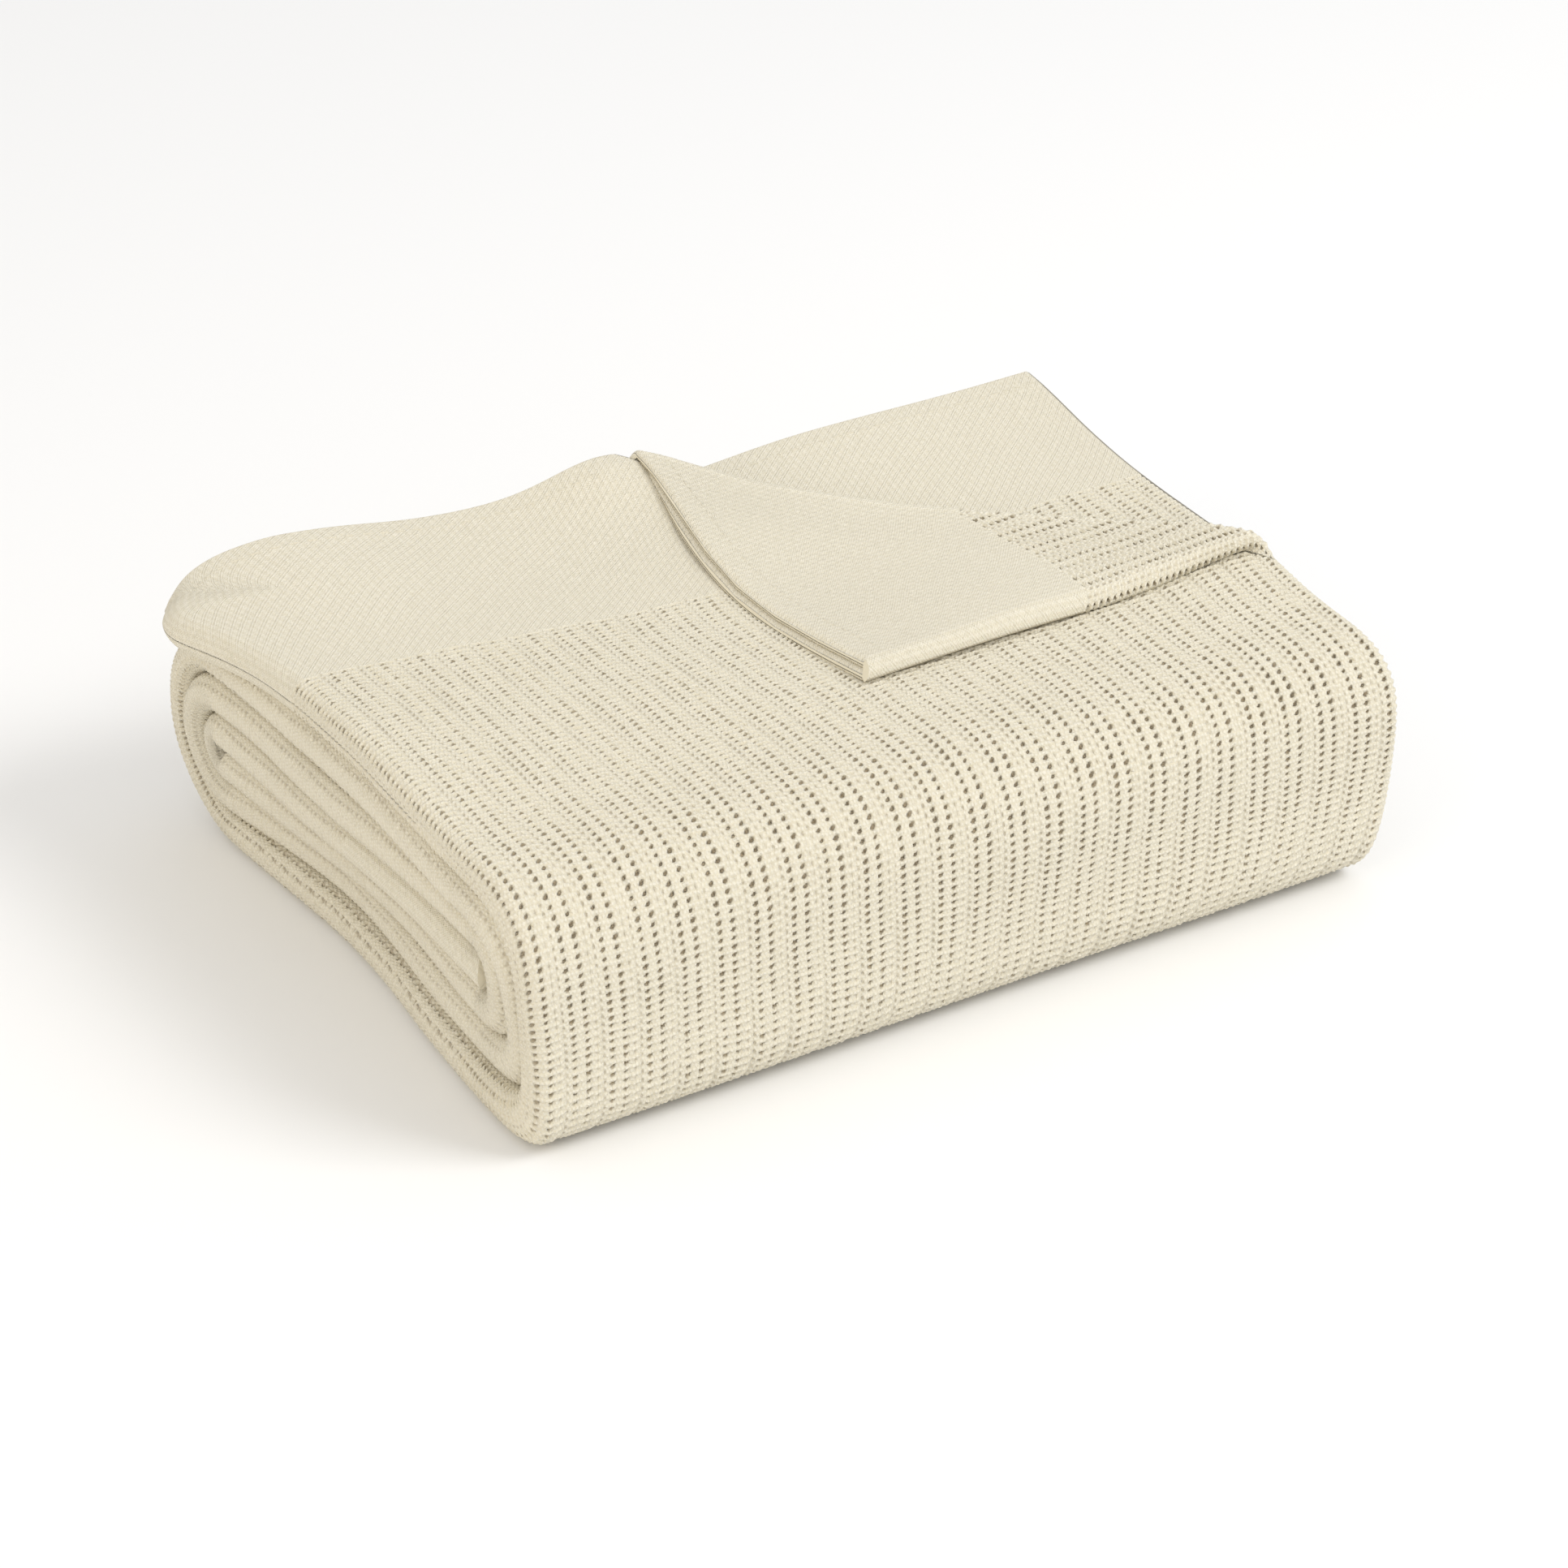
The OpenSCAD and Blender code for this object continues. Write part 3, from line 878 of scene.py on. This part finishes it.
def make_roll(cloth, thread):
    """Everything that stays down: three wraps, the innermost lap and its hem."""
    half_way = (S_FRONT + S_BOTTOM) / 2
    runs = [
        ("outer_wrap_front_upper", S_HINGE, half_way, FINE, True, []),
        ("outer_wrap_front_lower", half_way, S_BOTTOM + 8, FINE, True, []),
        ("outer_wrap_base", S_BOTTOM + 8, S_BACK - 10, HIDDEN, True, []),
        ("outer_wrap_back", S_BACK - 10, S_UNDER, FINE * 1.5, True, []),
        ("outer_wrap_under_flap", S_UNDER, S_MIDDLE, HIDDEN, True,
         ["outer_wrap_outer_pair", "outer_wrap_inner_pair"]),
        ("middle_wrap", S_MIDDLE, S_INNER, COARSE, False,
         ["middle_wrap_outer_pair", "middle_wrap_inner_pair"]),
        ("inner_wrap", S_INNER, S_CORE, COARSE, False,
         ["inner_wrap_outer_pair", "inner_wrap_inner_pair"]),
    ]
    for name, s0, s1, step, seen, nodes in runs:
        ob = roll_piece(name, rows_between(s0, s1, step), stack_loop(seen), cloth)
        carry(ob, "roll", *nodes)
    rows = rows_between(S_CORE, S_END - HEM, COARSE)
    tongue = roll_piece("core_lap", rows, stack_loop(False), cloth)
    rows = S_END - hem_rows(0, HEM, COARSE)[::-1]
    hem = roll_piece("core_hem_cloth", rows, stack_loop(False), cloth, hem_at=S_END)
    stitches = stitch_row("core_hem_stitches", X_FOLD, X_ONE, S_END - HEM + STITCH_IN, -STITCH_PROUD,
                          place_roll, thread)
    carry(tongue, "roll", "core_outer_pair", "core_inner_pair")
    carry(hem, "roll", "core_hem")
    carry(stitches, "roll", "core_stitching")


def make_flap_bend(cloth):
    """Where the flap bends as it lifts off the roll."""
    rows = rows_between(S_FLAP, S_HINGE, FINE)
    ob = roll_piece("flap_bend", rows, stack_loop(), cloth)
    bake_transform(ob)


def make_outer_pair(cloth, thread):
    """Plies one and two of the flap, cut along the diagonal fold, and the corner they turn back."""
    rows = np.concatenate([hem_rows(0, BAND, COARSE)[:-1], rows_between(BAND, S_FLAP, FINE)])
    base = strip_mesh("outer_pair_flat", outer_loop(FOLD_POS[0] - 4), rows, rows[0])
    n = Vector((FOLD_NORMAL[0], -FOLD_NORMAL[1], 0))
    p0 = Vector((FOLD_POS[0], OUTER_END - FOLD_POS[1], 0))
    p1 = p0 + n * FOLD_USED
    hem_in, hem_out = (Vector((0, HEM, 0)), Vector((0, -1, 0))), (Vector((0, HEM, 0)), Vector((0, 1, 0)))
    flap_cut, corner_cut = (p0, n), (p1, -n)
    flap = cut_piece("flap_outer_plies", base, [flap_cut, hem_in], place_fold, cloth)
    hem = cut_piece("flap_outer_hem_cloth", base, [hem_out, flap_cut], place_fold, cloth)
    turn = cut_piece("corner_fold_cloth", base, [(p0, -n), (p1, n)], place_fold, cloth)
    corner = cut_piece("turned_corner_cloth", base, [corner_cut, hem_in], place_fold, cloth)
    corner_hem = cut_piece("corner_hem_cloth", base, [hem_out, corner_cut], place_fold, cloth)
    bpy.data.meshes.remove(base)
    seam = HEM - STITCH_IN
    at_fold = FOLD_POS[0] - seam * FOLD_NORMAL[1] / FOLD_NORMAL[0]
    past_fold = FOLD_POS[0] + (FOLD_USED + seam * FOLD_NORMAL[1]) / FOLD_NORMAL[0]
    stitches = stitch_row("flap_outer_hem_stitches", X_FOLD, at_fold, seam, -STITCH_PROUD,
                          place_fold, thread)
    corner_stitches = stitch_row("corner_hem_stitches", past_fold, X_ONE, seam, 2 * PLY + STITCH_PROUD,
                                 place_fold, thread)
    carry(flap, "top_flap", "flap_outer_pair")
    carry(hem, "top_flap", "flap_outer_hem")
    carry(stitches, "top_flap", "flap_outer_stitching")
    carry(corner, "turned_corner", "corner_pair")
    carry(corner_hem, "turned_corner", "corner_hem")
    carry(corner_stitches, "turned_corner", "corner_stitching")
    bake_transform(turn)


def place_inner(p):
    """The inner pair has slipped towards +X at its far corner."""
    p = round_tip(p)
    y = OUTER_END - p[:, 1]
    slip = 10.5 * smooth(y, -30, INNER_END) * smooth(p[:, 0], -20, HALF)
    return place_roll(np.stack([p[:, 0] + slip, p[:, 1], p[:, 2]], 1))


def make_inner_pair(cloth, thread):
    """Plies three and four of the flap, which show behind the turned corner."""
    s0 = S_INNER_HEM
    rows = np.concatenate([hem_rows(s0, BAND, COARSE)[:-1], rows_between(BAND, S_FLAP, FINE)])
    base = strip_mesh("inner_pair_flat", inner_loops(FOLD_POS[0] - 14), rows, rows[0])
    edge = Vector((0, s0 + HEM, 0))
    pair = cut_piece("flap_inner_plies", base, [(edge, Vector((0, -1, 0)))], place_inner, cloth)
    hem = cut_piece("flap_inner_hem_cloth", base, [(edge, Vector((0, 1, 0)))], place_inner, cloth)
    bpy.data.meshes.remove(base)
    stitches = stitch_row("flap_inner_hem_stitches", X_FOLD, X_EDGE, s0 + HEM - STITCH_IN,
                          TOP3 - STITCH_PROUD, place_inner, thread)
    carry(pair, "top_flap", "flap_inner_pair")
    carry(hem, "top_flap", "flap_inner_hem")
    carry(stitches, "top_flap", "flap_inner_stitching")


# ---- floor, light and camera, in metres ----

CAMERA_AT = (-0.682, -1.106, 0.804)
CAMERA_WAY = (0.4536, 0.7273, -0.5151)
CAMERA_LENS = 101.6
FLOOR_Z = -0.0002
SKY = 0.80               # strength of the even light from all round


def plain_material(name, colour):
    w = Wires(name)
    w.shader.inputs["Base Color"].default_value = colour
    w.shader.inputs["Roughness"].default_value = 0.9
    w.shader.inputs["Specular IOR Level"].default_value = 0.1
    return w.mat


def make_stage():
    bpy.ops.mesh.primitive_plane_add(size=12, location=(0, 0, FLOOR_Z))
    floor = bpy.context.object
    floor.name = "floor"
    floor.data.materials.append(plain_material("pale_floor", (0.9, 0.9, 0.9, 1)))
    world = bpy.context.scene.world or bpy.data.worlds.new("world")
    bpy.context.scene.world = world
    world.use_nodes = True
    bpy.context.scene.view_settings.view_transform = "Standard"
    world.node_tree.nodes["Background"].inputs[0].default_value = (1, 1, 1, 1)
    world.node_tree.nodes["Background"].inputs[1].default_value = SKY


def area_light(name, place, size, power, colour=(1, 1, 1), aim=(0, 0, 0.05)):
    data = bpy.data.lights.new(name, "AREA")
    data.size, data.energy, data.color = size, power, colour
    ob = bpy.data.objects.new(name, data)
    bpy.context.scene.collection.objects.link(ob)
    ob.location = place
    ob.rotation_euler = (Vector(aim) - Vector(place)).to_track_quat("-Z", "Y").to_euler()


def make_camera():
    data = bpy.data.cameras.new("camera")
    data.lens, data.sensor_width = CAMERA_LENS, 36
    ob = bpy.data.objects.new("camera", data)
    bpy.context.scene.collection.objects.link(ob)
    ob.location = CAMERA_AT
    ob.rotation_euler = Vector(CAMERA_WAY).to_track_quat("-Z", "Y").to_euler()
    bpy.context.scene.camera = ob


cloth = cloth_material("cotton_throw")
thread = thread_material()
make_roll(cloth, thread)
make_flap_bend(cloth)
make_inner_pair(cloth, thread)
make_outer_pair(cloth, thread)
make_stage()
area_light("key", (1.1, -1.3, 1.7), 1.0, 26)
area_light("fill", (-1.8, -0.5, 0.9), 1.4, 9, (1.0, 0.84, 0.60))
make_camera()
